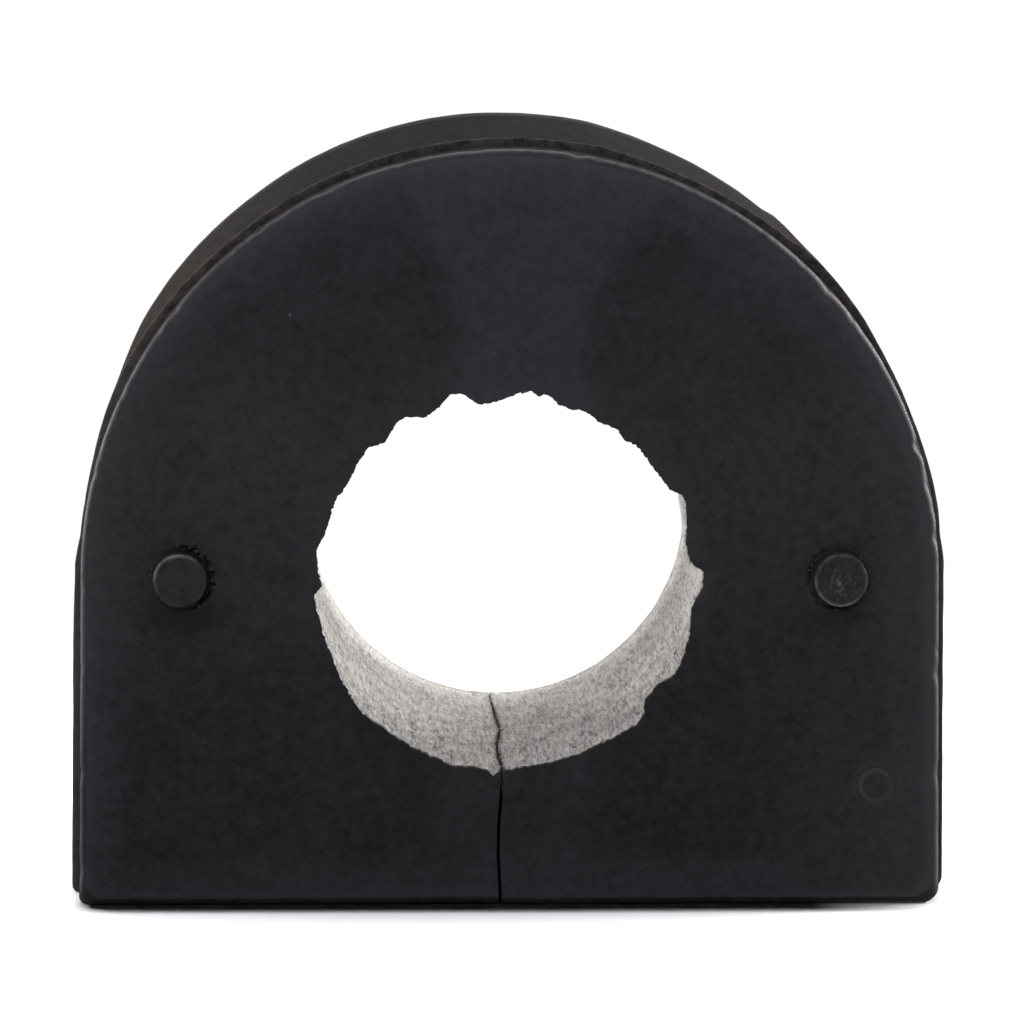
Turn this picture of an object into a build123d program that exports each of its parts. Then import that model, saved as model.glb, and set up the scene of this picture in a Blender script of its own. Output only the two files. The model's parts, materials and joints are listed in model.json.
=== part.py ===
import math
import os

from build123d import *

os.makedirs("parts", exist_ok=True)

# All sizes are in millimetres. The origin is on the bore's axis at mid length,
# the front end faces -Y, +Z is up and the flat base lies below.

# Body, a D seen from either end
body_length = 38.0
arch_radius = 27.4
side_ledge = 0.22  # the sides stand this far outside the arch
ledge_top = 2.2  # they swell out from this level above the bore's axis
ledge_bottom = 0.4  # down to this one
side_flare = 0.2  # each side leans out by this much on its way to the base
base_drop = 20.8  # bore's axis down to the base
foot_radius = 1.4

# Rims and the bracket grooves behind them, alike at both ends
rim_thickness = 2.0
rim_inset = 0.4  # rim's outline inside the arch
rim_edge_radius = 0.5
groove_width = 2.4
groove_depth = 1.0  # groove's floor inside the rim's outline

# Bore, its bonded fabric liner and the rubber skin over the liner's front end
bore_radius = 13.0
liner_thickness = 0.9
lip_thickness = 0.7

# Moulded pegs on the front face, level with the bore
peg_spacing = 41.1
peg_radius = 1.7
peg_height = 1.2
peg_edge_radius = 0.3

# Round mark that an ejector left in the front face
witness_x = 23.1
witness_z = -13.2
witness_radius = 1.1
witness_width = 0.25
witness_depth = 0.08

# Fitting slit, cut from the bore down to the base
slit_width = 0.2
liner_slit_width = 0.15

# Course of the slit on the end faces: share of the way from the bore's wall
# down to the base, and distance to the right of the bore's axis
slit_course = [(-0.35, -0.45), (0.1, -0.55), (0.33, -0.7), (0.6, -0.74), (0.9, -0.6), (1.1, -0.6)]

# Course of the same cut along the liner, where the blade wandered: share of
# the body's length from the front, and distance to the right of the axis
liner_course = [
    (-0.1, -0.56),
    (0.04, -0.54),
    (0.15, -0.35),
    (0.26, -0.47),
    (0.4, -0.5),
    (0.49, -0.28),
    (0.55, -0.1),
    (0.65, -0.24),
    (0.82, -0.37),
    (1.1, -0.6),
]

# Torn inner edge of the front skin: degrees round the bore from +X towards +Z,
# and how far the skin reaches in from the bore's wall
torn_edge = [
    (2, 0.85), (4, 1.45), (7, 1.7), (12, 1.7), (18, 1.3), (23, 0.95), (26, 0.9), (29, 1.5),
    (34, 1.5), (39, 1.55), (43, 1.45), (47, 1.4), (50, 1.65), (55, 1.35), (61, 1.6), (63, 1.45),
    (66, 1.35), (71, 1.6), (75, 1.55), (77, 1.2), (79, 1.05), (81, 1.3), (84, 1.05), (88, 1.3),
    (95, 1.75), (101, 1.8), (103, 1.25), (105, 0.85), (108, 0.75), (113, 1.3), (118, 1.55),
    (121, 1.15), (123, 0.9), (126, 0.85), (130, 1.25), (133, 1.4), (136, 1.05), (139, 0.95),
    (147, 1.2), (151, 1.3), (155, 1.1), (161, 1.2), (166, 1.2), (171, 0.9), (177, 1.1), (182, 1.4),
    (185, 0.85), (192, 1.0), (203, 1.05), (214, 0.9), (223, 0.7), (231, 1.0), (238, 1.0), (249, 1.0),
    (253, 0.85), (261, 1.1), (266, 0.95), (268, 0.65), (270, 1.05), (276, 1.25), (283, 1.3),
    (289, 1.25), (294, 1.3), (305, 1.1), (311, 0.9), (314, 1.05), (318, 1.7), (324, 1.6),
    (329, 1.05), (333, 1.05), (343, 1.25), (350, 1.45), (354, 1.2), (357, 0.85),
]

# Levels along the bore and radii that follow from the sizes above
half_length = body_length / 2
block_half_length = half_length - rim_thickness - groove_width
rim_radius = arch_radius - rim_inset
groove_radius = rim_radius - groove_depth
seat_radius = bore_radius + liner_thickness
lip_back = lip_thickness - half_length


def across(y):
    # A plane across the bore at that level, drawn on as seen from the front
    return Plane.XZ.offset(-y)


def draw_end_view(radius, ledge):
    # The D: a round top, sides that may swell out below it and then lean, and a flat base
    side = radius + ledge
    foot = side + side_flare
    corners = [(foot, -base_drop), (side, ledge_bottom)] if ledge else [(foot, -base_drop), (side, 0)]
    if ledge:
        corners.append((math.sqrt(radius**2 - ledge_top**2), ledge_top))
    Circle(radius)
    Polygon(*corners, *[(-x, y) for x, y in reversed(corners)], align=None)
    with Locations((0, radius)):
        Rectangle(2 * foot, radius + base_drop, align=(Align.CENTER, Align.MAX), mode=Mode.INTERSECT)


def round_feet(section):
    # The corners where the sides meet the base
    fillet(section.vertices().group_by(Axis.Y)[0], foot_radius)


def draw_cut(course, width):
    # A narrow strip that follows a course of points
    left = [(x - width / 2, y) for x, y in course]
    right = [(x + width / 2, y) for x, y in reversed(course)]
    Polygon(*left, *right, align=None)


# One peg with its rounded edge, standing on the plane of the front face
with BuildPart() as peg:
    with BuildSketch(across(-half_length)):
        Circle(peg_radius)
    extrude(amount=peg_height)
    fillet(peg.faces().sort_by(Axis.Y)[0].edges(), peg_edge_radius)


# Rubber body: the D with its rims, grooves, pegs and torn front skin
with BuildPart() as rubber_body:
    # Core as deep as the grooves
    with BuildSketch(across(half_length)) as core_view:
        draw_end_view(groove_radius, 0)
        round_feet(core_view)
    extrude(amount=body_length)

    # Rims at the rear and at the front
    with BuildSketch(across(half_length), across(rim_thickness - half_length)) as rim_view:
        draw_end_view(rim_radius, 0)
        round_feet(rim_view)
    extrude(amount=rim_thickness)

    # Block between the grooves, which the bracket clamps
    with BuildSketch(across(block_half_length)) as block_view:
        draw_end_view(arch_radius, side_ledge)
        round_feet(block_view)
    extrude(amount=2 * block_half_length)

    # Rounded outer edges of the two end faces
    end_faces = rubber_body.faces().sort_by(Axis.Y)
    fillet(end_faces[0].edges() + end_faces[-1].edges(), rim_edge_radius)

    # Seat of the liner, behind the front skin
    with BuildSketch(across(half_length)):
        Circle(seat_radius)
    extrude(amount=body_length - lip_thickness, mode=Mode.SUBTRACT)

    # Torn mouth in the front skin
    torn_points = []
    for degrees, reach in torn_edge:
        angle = math.radians(degrees)
        torn_points.append(((bore_radius - reach) * math.cos(angle), (bore_radius - reach) * math.sin(angle)))
    with BuildSketch(across(lip_back)):
        Polygon(*torn_points, align=None)
    extrude(amount=lip_thickness, mode=Mode.SUBTRACT)

    # Pegs
    with Locations((-peg_spacing / 2, 0, 0), (peg_spacing / 2, 0, 0)):
        add(peg.part)

    # Ejector's mark
    with BuildSketch(across(-half_length)):
        with Locations((witness_x, witness_z)):
            Circle(witness_radius)
            Circle(witness_radius - witness_width, mode=Mode.SUBTRACT)
    extrude(amount=-witness_depth, mode=Mode.SUBTRACT)

    # Slit down to the base
    wall_height = base_drop - bore_radius
    with BuildSketch(across(half_length)):
        draw_cut([(x, -bore_radius - share * wall_height) for share, x in slit_course], slit_width)
    extrude(amount=body_length, mode=Mode.SUBTRACT)

rubber_body.part.label = "rubber_body"
export_step(rubber_body.part, "parts/rubber_body.step")


# Bore liner: a sleeve of felted fabric, bonded into the rubber and cut through at the slit
with BuildPart() as bore_liner:
    with BuildSketch(across(half_length)):
        Circle(seat_radius)
        Circle(bore_radius, mode=Mode.SUBTRACT)
    extrude(amount=body_length - lip_thickness)

    with BuildSketch(Plane.XY.offset(-seat_radius)):
        draw_cut([(x, share * body_length - half_length) for share, x in liner_course], liner_slit_width)
    extrude(amount=seat_radius, mode=Mode.SUBTRACT)

bore_liner.part.label = "bore_liner"
export_step(bore_liner.part, "parts/bore_liner.step")
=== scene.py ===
import json
import math
import random

import bmesh
import bpy
import numpy as np
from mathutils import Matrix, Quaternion, Vector, noise

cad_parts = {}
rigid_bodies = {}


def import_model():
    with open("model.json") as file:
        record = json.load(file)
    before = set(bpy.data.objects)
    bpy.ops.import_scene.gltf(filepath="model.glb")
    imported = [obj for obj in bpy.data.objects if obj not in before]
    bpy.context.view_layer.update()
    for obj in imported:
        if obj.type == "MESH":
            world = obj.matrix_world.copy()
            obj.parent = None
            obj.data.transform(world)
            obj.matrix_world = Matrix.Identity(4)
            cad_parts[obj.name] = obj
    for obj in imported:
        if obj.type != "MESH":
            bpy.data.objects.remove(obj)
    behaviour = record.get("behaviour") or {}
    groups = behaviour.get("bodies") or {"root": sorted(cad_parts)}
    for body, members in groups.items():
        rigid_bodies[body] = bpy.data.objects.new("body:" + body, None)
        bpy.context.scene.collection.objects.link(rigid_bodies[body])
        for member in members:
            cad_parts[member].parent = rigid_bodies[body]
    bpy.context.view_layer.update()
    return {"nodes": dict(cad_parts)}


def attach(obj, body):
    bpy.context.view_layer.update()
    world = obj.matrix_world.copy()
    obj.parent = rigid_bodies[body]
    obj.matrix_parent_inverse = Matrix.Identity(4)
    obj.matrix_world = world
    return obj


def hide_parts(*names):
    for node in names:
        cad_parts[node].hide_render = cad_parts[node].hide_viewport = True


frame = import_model()
print("frame loaded:", sorted(frame["nodes"]))

mm = 0.001  # Blender works in metres, and the sizes below are in mm


def toLinear(hexColour):
    # An sRGB colour such as "#1a1b1d", as the linear colour that a shader takes
    channels = [int(hexColour[i:i + 2], 16) / 255 for i in (1, 3, 5)]
    linear = [c / 12.92 if c <= 0.04045 else ((c + 0.055) / 1.055) ** 2.4 for c in channels]
    return (*linear, 1.0)


def addNode(tree, kind, inputs=(), **settings):
    # Adds one shader node and hands back its outputs. Inputs come by key, or as a list in the node's
    # order, and each is a value, a colour such as "#1a1b1d" or the socket that feeds it
    node = tree.nodes.new("ShaderNode" + kind)
    for name, value in settings.items():
        setattr(node, name, value)
    for key, value in inputs.items() if isinstance(inputs, dict) else enumerate(inputs):
        if isinstance(value, bpy.types.NodeSocket):
            tree.links.new(value, node.inputs[key])
        else:
            node.inputs[key].default_value = toLinear(value) if isinstance(value, str) else value
    return node.outputs


def newMaterial(name):
    material = bpy.data.materials.new(name)
    material.use_nodes = True
    material.node_tree.nodes.clear()
    return material, material.node_tree


def newMesh(name, vertices, faces, shades=None):
    # A mesh from points in mm, with the shades that its material reads at each point
    mesh = bpy.data.meshes.new(name)
    mesh.from_pydata((np.asarray(vertices) * mm).tolist(), [], faces)
    for shade, values in (shades or {}).items():
        layer = mesh.attributes.new(shade, "FLOAT", "POINT")
        layer.data.foreach_set("value", np.ascontiguousarray(values, dtype=np.float32).ravel())
    return mesh


def addObject(name, data):
    thing = bpy.data.objects.new(name, data)
    bpy.context.scene.collection.objects.link(thing)
    return thing


def addPiece(mesh, materials, stands, sharpAngle=50):
    # Puts a mesh in the scene with its faces turned outward, riding on the part's one body
    shell = bmesh.new()
    shell.from_mesh(mesh)
    bmesh.ops.recalc_face_normals(shell, faces=shell.faces)
    shell.to_mesh(mesh)
    shell.free()
    mesh.shade_smooth()
    mesh.set_sharp_from_angle(angle=math.radians(sharpAngle))
    for material in materials:
        mesh.materials.append(material)
    piece = addObject(mesh.name, mesh)
    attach(piece, "root")
    if stands:
        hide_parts(stands)


def fade(value, low, high):
    # Smooth step from 0 at low to 1 at high
    t = np.clip((np.asarray(value, float) - low) / (high - low), 0, 1)
    return t * t * (3 - 2 * t)


def ripple(points, size, octaves=3, seed=0.0):
    # Fractal noise, about -1 to 1, with features of that size in mm
    offset = Vector((seed, 1.7 * seed, -0.6 * seed))
    flat = np.asarray(points, float).reshape(-1, 3) / size
    values = [noise.fractal(Vector(p) + offset, 1.0, 2.0, octaves) for p in flat]
    return np.array(values).reshape(np.shape(points)[:-1])


def bell(value, middle, width):
    # Smooth hump of height 1
    return np.exp(-((value - middle) / width) ** 2)


def around(angle, radius, level=0.0):
    # Points at an angle and a distance round the bore's axis, and a level along it
    return np.stack(np.broadcast_arrays(radius * np.cos(angle), level, radius * np.sin(angle)), axis=-1)


def loopFaces(rows, columns):
    # Quads of a closed section that runs from the first column to the last, with an end face at each
    faces = []
    for row in range(rows):
        here, after = row * columns, (row + 1) % rows * columns
        faces += [(here + c, here + c + 1, after + c + 1, after + c) for c in range(columns - 1)]
    faces.append([row * columns for row in range(rows)])
    faces.append([row * columns + columns - 1 for row in range(rows)])
    return faces


def tubeFaces(rings, sides, start=0):
    # Quads of a tube from ring to ring of points, with an end face at each
    faces = []
    for here in range(start, start + (rings - 1) * sides, sides):
        turns = [(c, (c + 1) % sides) for c in range(sides)]
        faces += [(here + a, here + b, here + sides + b, here + sides + a) for a, b in turns]
    last = start + (rings - 1) * sides
    return faces + [range(start, start + sides), range(last, last + sides)]


# The part's own sizes, as the CAD source has them
form = {
    "length": 38.0,
    "arch": 27.4,
    "ledge": 0.22,
    "ledgeTop": 2.2,
    "ledgeBottom": 0.4,
    "flare": 0.2,
    "drop": 20.8,
    "rimThickness": 2.0,
    "rimInset": 0.4,
    "rimEdge": 0.5,
    "grooveWidth": 2.4,
    "grooveDepth": 1.0,
    "bore": 13.0,
    "seat": 13.9,
    "lip": 0.7,
    "slitWidth": 0.2,
    "slitCourse": [(-0.35, -0.45), (0.1, -0.55), (0.33, -0.7), (0.6, -0.74), (0.9, -0.6), (1.1, -0.6)],
    "linerSlit": 0.15,
    "linerCourse": [
        (-0.1, -0.56), (0.04, -0.54), (0.15, -0.35), (0.26, -0.47), (0.4, -0.5), (0.49, -0.28),
        (0.55, -0.1), (0.65, -0.24), (0.82, -0.37), (1.1, -0.6),
    ],
    "pegX": 20.55,
    "pegRadius": 1.7,
    "pegHeight": 1.2,
    "markX": 23.1,
    "markZ": -13.2,
    "markRadius": 1.1,
}
frontY = -form["length"] / 2
rearY = form["length"] / 2
lipY = frontY + form["lip"]
rimRadius = form["arch"] - form["rimInset"]

# Materials

rubberLook = {
    "dark": "#0c0c0e",  # bare moulded rubber
    "bloomAndShading": "#363539",  # lighter tone: wax bloom, and painted highlight and shade
    "deep": "#0e0e0f",  # in the grooves: clean rubber, with painted shade
    "dust": "#292827",  # dust on top of the arch
    "oldDust": "#35362f",  # and lower down
    "wornAndLitEdge": "#5e5e5d",  # chalky where edges are handled, and painted highlight on them
    "speck": "#55534f",
    # Size in mm, detail, roughness and distortion of each layer of noise
    "blotch": (4.0, 4, 0.6, 0.8),
    "mottle": (0.7, 5, 0.7, 0.0),
    "grain": (0.2, 3, 0.6, 0.0),  # the real grain is finer than a pixel, so it is drawn this coarse
    "flow": (7.0, 2, 0.5, 1.5),  # rubber flowed in curls of this size, with lines about 1 mm apart
    "flowTurns": 60.0,
    "toneWeights": (1.3, 2.8, 1.2, 0.1),  # of these four layers
    "toneRange": (1.95, 5.15),  # from dark to bloom
    "scuff": (1.0, 6, 0.7, 0.0),
    "scuffStretch": (1.4, 0.7, 1.4),  # scuffs run along the part
    "scuffRange": (0.28, 0.72),
    "dustHeights": (12.0, 25.0),  # mm above the axis, from oldDust to dust
    "dashRange": (0.36, 0.6, 0.3),  # of the mottle, and how scuffed an edge is between the dashes
    "turn": (0.6, 0.4, 0.3),  # keeps the noise from lining up with the flat faces
    "grainDepth": 0.008,
    "speckSpacing": 3.4,
    "speckRadius": 0.04,
    "bareShare": 0.6,  # of the cells have no speck
    "mottleRelief": 1.8,  # heights beside the grain's
    "scrapeRelief": 1.5,
    "roughness": 0.46,
    "roughRange": (0.25, 0.75, -0.06, 0.08),  # of the mottle, and how far it moves the roughness
    "specular": 0.1,
}
# Sides and arch, rubbed dull by the bracket
archLook = {**rubberLook, "oldDust": "#3a332b", "wornAndLitEdge": "#56504a"}
archLook = {**archLook, "roughness": 0.8, "specular": 0.0}
crumbRubberLook = {**rubberLook, "dark": "#141414", "bloomAndShading": "#4c4a48"}


def mouldedRubber(name, look):
    # Injection-moulded black rubber: near black, with a soft uneven sheen from mould, wax and dust, and
    # painted highlight and shade in its tone
    material, tree = newMaterial(name)
    place = addNode(tree, "TexCoord")["Object"]
    point = {"Vector": place, "Scale": (1 / mm,) * 3, "Rotation": look["turn"]}
    point = addNode(tree, "Mapping", point)[0]
    height = addNode(tree, "SeparateXYZ", [place])[2]
    bloomedAndShaded, dusty, wornAndLit, recessShade = [
        addNode(tree, "Attribute", attribute_name=shade)["Fac"]
        for shade in ("bloomedAndShaded", "dusty", "wornAndLit", "recessShade")
    ]
    streak = addNode(tree, "VectorMath", [point, look["scuffStretch"]], operation="MULTIPLY")[0]
    noises = []
    for layer in ("blotch", "mottle", "grain", "flow", "scuff"):
        size, detail, roughness, distortion = look[layer]
        noisy = {"Vector": streak if layer == "scuff" else point, "Scale": 1 / size, "Detail": detail}
        noisy = {**noisy, "Roughness": roughness, "Distortion": distortion}
        noises.append(addNode(tree, "TexNoise", noisy)[0])
    blotch, mottle, grain, flow, scuff = noises
    flow = addNode(tree, "Math", [flow, look["flowTurns"]], operation="MULTIPLY")[0]
    flow = addNode(tree, "Math", [flow], operation="SINE")[0]

    # Bloom, laid down by the mould in broad fields and broken up by the surface, with painted highlight
    # and shade in the same tone
    tone = bloomedAndShaded
    for layer, weight in zip((blotch, mottle, grain, flow), look["toneWeights"]):
        tone = addNode(tree, "Math", [layer, weight, tone], operation="MULTIPLY_ADD")[0]
    span = addNode(tree, "MapRange", [tone, *look["toneRange"]])[0]
    colour = addNode(tree, "Mix", {0: span, 6: look["dark"], 7: look["bloomAndShading"]}, data_type="RGBA")[2]

    # Dust that the bracket rubbed along the arch
    scuffed = [scuff, *look["scuffRange"]]
    scuffed = addNode(tree, "MapRange", scuffed, interpolation_type="SMOOTHSTEP")[0]
    dusted = addNode(tree, "Math", [scuffed, dusty], operation="MULTIPLY")[0]
    high = addNode(tree, "MapRange", [height, *[level * mm for level in look["dustHeights"]]])[0]
    dust = addNode(tree, "Mix", {0: high, 6: look["oldDust"], 7: look["dust"]}, data_type="RGBA")[2]

    # Edges scuffed grey in short dashes, which carry the painted edge highlights too
    dash = addNode(tree, "MapRange", [mottle, *look["dashRange"]], interpolation_type="SMOOTHSTEP")[0]
    scrapedAndLit = addNode(tree, "Math", [dash, wornAndLit], operation="MULTIPLY")[0]

    # Specks of dust, under a tenth of a millimetre across
    cell = addNode(tree, "TexVoronoi", {"Vector": point, "Scale": 1 / look["speckSpacing"]})
    near = [cell["Distance"], look["speckRadius"], look["speckRadius"] / 2]
    near = addNode(tree, "MapRange", near)[0]
    chosen = addNode(tree, "SeparateColor", [cell["Color"]])[0]
    chosen = addNode(tree, "MapRange", [chosen, look["bareShare"], 1.0])[0]
    speck = addNode(tree, "Math", [near, chosen], operation="MULTIPLY")[0]

    # Painted shade in recesses, dust, scuffs with painted highlight, and specks
    covers = (recessShade, look["deep"]), (dusted, dust), (scrapedAndLit, look["wornAndLitEdge"]), (speck, look["speck"])
    for share, cover in covers:
        colour = addNode(tree, "Mix", {0: share, 6: colour, 7: cover}, data_type="RGBA")[2]

    low, high, smoother, rougher = look["roughRange"]
    rough = [mottle, low, high, look["roughness"] + smoother, look["roughness"] + rougher]
    rough = addNode(tree, "MapRange", rough)[0]
    relief = grain
    reliefs = (mottle, look["mottleRelief"]), (dusted, scuff), (scrapedAndLit, look["scrapeRelief"])
    for layer, weight in reliefs:
        relief = addNode(tree, "Math", [layer, weight, relief], operation="MULTIPLY_ADD")[0]
    bump = {"Strength": 1.0, "Distance": look["grainDepth"] * mm, "Height": relief}
    bump = addNode(tree, "Bump", bump)[0]
    shader = {
        "Base Color": colour, "Roughness": rough, "Normal": bump,
        "IOR": 1.5, "Specular IOR Level": look["specular"],
    }
    shader = addNode(tree, "BsdfPrincipled", shader)[0]
    addNode(tree, "OutputMaterial", [shader])
    return material


feltLook = {
    "pale": "#f8f4ee",
    "grey": "#9c9893",
    "fleck": "#423f3c",
    "rearShade": "#6d6864",  # painted shade, darker towards the rear end
    "rear": "#64564d",  # cut rear end, with a trace of adhesive
    "cut": "#1c1a18",  # painted shade on the walls of the slit
    "strandStretch": (4.2, 0.42, 4.2),  # strands run along the bore, about 0.24 mm wide and 2.4 mm long
    "fleckStretch": (3.8, 0.34, 3.8),
    "fleckRange": (0.5, 0.63, 0.0, 0.95),  # of the noise, and the least and most that it shows
    "cloudSize": 2.2,
    "cloudWeight": 0.5,
    "toneRange": (0.55, 0.9),  # from grey to pale
    "paleAboveRange": (-6.0, -1.0, 0.0, 0.48),  # paler above the axis: mm, and how much
    "rearShadeRange": (-13.0, rearY, 0.0, 0.66),  # painted shade towards the rear: mm along the bore, and how much
    "gluedRange": (rearY - 1.1, rearY - 0.5, 0.0, 0.66),
    "bumpDepth": 0.03,
}


def feltedFabric(name, look):
    # Needle-felted low-friction fabric: pale and matt, with short strands, grey clouds and dark flecks
    material, tree = newMaterial(name)
    place = addNode(tree, "TexCoord")["Object"]
    point = addNode(tree, "VectorMath", [place, (1 / mm,) * 3], operation="MULTIPLY")[0]
    _, level, height = addNode(tree, "SeparateXYZ", [point])
    slit = addNode(tree, "Attribute", attribute_name="slit")["Fac"]

    along = addNode(tree, "VectorMath", [point, look["strandStretch"]], operation="MULTIPLY")[0]
    strand = {"Vector": along, "Scale": 1.0, "Detail": 3, "Roughness": 0.75, "Distortion": 0.5}
    strand = addNode(tree, "TexNoise", strand)[0]
    cloud = addNode(tree, "TexNoise", {"Vector": point, "Scale": 1 / look["cloudSize"], "Detail": 3})[0]
    tone = addNode(tree, "Math", [cloud, look["cloudWeight"], strand], operation="MULTIPLY_ADD")[0]
    paleAbove = addNode(tree, "MapRange", [height, *look["paleAboveRange"]])[0]
    tonePaledAbove = addNode(tree, "Math", [tone, paleAbove])[0]
    span = addNode(tree, "MapRange", [tonePaledAbove, *look["toneRange"]])[0]
    colour = addNode(tree, "Mix", {0: span, 6: look["grey"], 7: look["pale"]}, data_type="RGBA")[2]

    across = addNode(tree, "VectorMath", [point, look["fleckStretch"]], operation="MULTIPLY")[0]
    fleck = {"Vector": across, "Scale": 1.0, "Detail": 4, "Roughness": 0.8, "Distortion": 1.2}
    fleck = addNode(tree, "TexNoise", fleck)[0]
    fleck = addNode(tree, "MapRange", [fleck, *look["fleckRange"]])[0]
    rearShaded = addNode(tree, "MapRange", [level, *look["rearShadeRange"]])[0]
    glued = addNode(tree, "MapRange", [level, *look["gluedRange"]])[0]
    # Flecks, painted shade towards the rear, the glued rear end and painted shade in the slit
    for share, tint in ((fleck, "fleck"), (rearShaded, "rearShade"), (glued, "rear"), (slit, "cut")):
        colour = addNode(tree, "Mix", {0: share, 6: colour, 7: look[tint]}, data_type="RGBA")[2]

    bump = {"Strength": 1.0, "Distance": look["bumpDepth"] * mm, "Height": tone}
    bump = addNode(tree, "Bump", bump)[0]
    shader = {
        "Base Color": colour, "Roughness": 0.95, "Normal": bump, "IOR": 1.5,
        "Specular IOR Level": 0.2, "Sheen Weight": 0.15, "Sheen Roughness": 0.6,
    }
    shader = addNode(tree, "BsdfPrincipled", shader)[0]
    addNode(tree, "OutputMaterial", [shader])
    return material


fibreLook = {"pale": "#efe9dc", "tan": "#b9a98c", "size": 0.6, "tintRange": (0.4, 0.65)}


def cutFibre(name, look):
    # Ends of the felt's strands, cut and teased out: off-white, some of them yellowed
    material, tree = newMaterial(name)
    place = addNode(tree, "TexCoord")["Object"]
    tint = {"Vector": place, "Scale": 1 / (look["size"] * mm), "Detail": 2}
    tint = addNode(tree, "TexNoise", tint)[0]
    span = addNode(tree, "MapRange", [tint, *look["tintRange"]])[0]
    colour = addNode(tree, "Mix", {0: span, 6: look["pale"], 7: look["tan"]}, data_type="RGBA")[2]
    shader = {"Base Color": colour, "Roughness": 0.7, "IOR": 1.5, "Sheen Weight": 0.3}
    shader = addNode(tree, "BsdfPrincipled", shader)[0]
    addNode(tree, "OutputMaterial", [shader])
    return material


faceRubber = mouldedRubber("injectionMouldedRubber", rubberLook)
archRubber = mouldedRubber("rubbedMouldedRubber", archLook)
crumbRubber = mouldedRubber("tornRubberFlash", crumbRubberLook)
felt = feltedFabric("needleFeltedFabric", feltLook)
fibre = cutFibre("cutFeltFibre", fibreLook)
print("materials made")

# Rubber body

bodyLook = {
    "columns": 720,
    "faceRows": 32,
    "feet": (0.55, 1.05),  # radius of the left and the right foot, which the mould left unlike
    "faceFeet": (1.5, 1.9),  # and of the end faces there, which leaves a slope between
    "ragged": 0.07,  # fine tearing of the mouth's edge
    "raggedSize": 0.45,
    "mouthShift": (-0.12, -0.19),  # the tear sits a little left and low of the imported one
    "mouthGrowth": 0.1,
    "dishDepth": 0.1,  # shallow lobes that the mould sinks into the face
    "waveDepth": 0.012,
    "waveSize": 4.0,
    "wearDepth": 0.014,  # uneven rounding of the rim's edge
    "wearSize": 0.9,
    "sagDepth": 0.035,  # arch and sides wave a little, as rubber does after moulding
    "sagSize": 3.0,
    "skinRows": [(1, 0.0), (0.62, 0.0), (0.4, 0.03), (0.15, 0.1)],  # share of its width, mm thinned
    "tearRows": [(0.24, 0.05), (0.36, 0.0), (0.52, 0.0), (0.68, 0.0), (0.84, 0.01), (0.97, 0.03)],
    # Share of the groove's depth, mm along the bore from its wall, and what the row lies on
    "rimWall": [
        (1, 1.0, "land"), (1, 0.3, "land"), (1, 0.12, "land"), (0.965, 0.035, "land"),
        (0.88, 0.0, "groove"), (0.15, -0.03, "groove"), (0.045, -0.075, "groove"), (0, -0.18, "groove"),
    ],
    "blockWall": [
        (0, 1.2, "groove"), (0, 0.2, "groove"), (0.04, 0.06, "groove"), (0.12, 0.02, "groove"),
        (0.9, 0.0, "arris"), (0.97, -0.05, "arris"), (1, -0.16, "arris"),
    ],
    # Degrees round the rounding of the rim's edge, and how scuffed and lit by painted highlight it is
    # there
    "edgeRows": [(12, 0.05), (25, 0.18), (38, 0.6), (51, 1.0), (64, 0.75), (77, 0.3), (90, 0.1)],
    "nicks": 46,
    "slitFade": 12.0,  # degrees over which the columns lean back from the slit
    "seed": 11,
    # Where the block's outline strays from the D: degrees round the bore, and how far out
    "stray": [
        (-37, 0.0), (-25, 0.04), (0, 0.08), (7, 0.2), (12, 0.14), (20, 0.0), (29, 0.0), (35, 0.16),
        (40, 0.24), (45, 0.3), (47.5, 0.28), (49.5, 0.08), (60, -0.04), (66, -0.08), (72, -0.04),
        (78, 0.06), (84, 0.0), (118, 0.0), (127, -0.05), (134, 0.0), (145, 0.1), (152, 0.14),
        (159, 0.02), (165, -0.14), (171, -0.19), (176, -0.13), (182, -0.08), (190, 0.0), (240, 0.0),
    ],
    # Degrees where the columns crowd together, over how many, and how much closer they are
    "crowded": [
        (-90, 3, 1), (270, 3, 1), (-37, 3, 1.6), (217, 3, 1.6), (2.7, 2, 1), (177.3, 2, 1),
    ],
    "largeNicks": [(42.6, 0.5, 0.16), (5.4, 0.45, 0.14)],  # degrees, size and depth
}
# How dusty each part of the surface is, how worn or lit by painted highlight (as on the arris), and how
# dark with painted shade in recesses
zoneShade = {
    "skin": (0.0, 0.0, 0.3),
    "face": (0.0, 0.0, 0.0),
    "land": (0.3, 0.1, 0.2),
    "groove": (0.0, 0.0, 1.0),
    "arris": (0.5, 0.45, 0.0),
    "block": (1.0, 0.0, 0.0),
    "seat": (0.0, 0.0, 1.0),
}

pegLook = {
    "columns": 96, "sunk": 0.4, "edge": 0.3, "wobble": 0.03, "dished": 0.09,
    # The moats round the pegs are darkened as painted shade
    "moatWidth": 0.42, "moatShade": -5.0, "reach": 2.6, "cuts": 4,
    "outward": 0.16,  # the photographed pegs stand this much further apart to each side
}
# moat: degrees that its deepest side faces, and how deep the other side is
# lit: degrees where the edge takes the most painted highlight; ring: how much it is scuffed and lit
# elsewhere
# shade: painted shadow, how dark the face is below
pegs = [
    {
        "name": "leftPeg", "x": -form["pegX"] - pegLook["outward"],
        "hollow": 0.0, "rough": 0.03, "seed": 3.0, "slope": 0.05, "moat": (20, 0.05),
        "moatDepth": 0.24, "lit": 118, "ring": 0.12, "shade": 2.1, "scratched": 0.04,
    },
    {
        "name": "rightPeg", "x": form["pegX"] + pegLook["outward"],
        "hollow": 0.06, "rough": 0.085, "seed": 8.0, "slope": -0.03, "moat": (200, 0.3),
        "moatDepth": 0.1, "lit": 245, "ring": 0.35, "shade": 1.3, "scratched": 0.7,
    },
]


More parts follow.
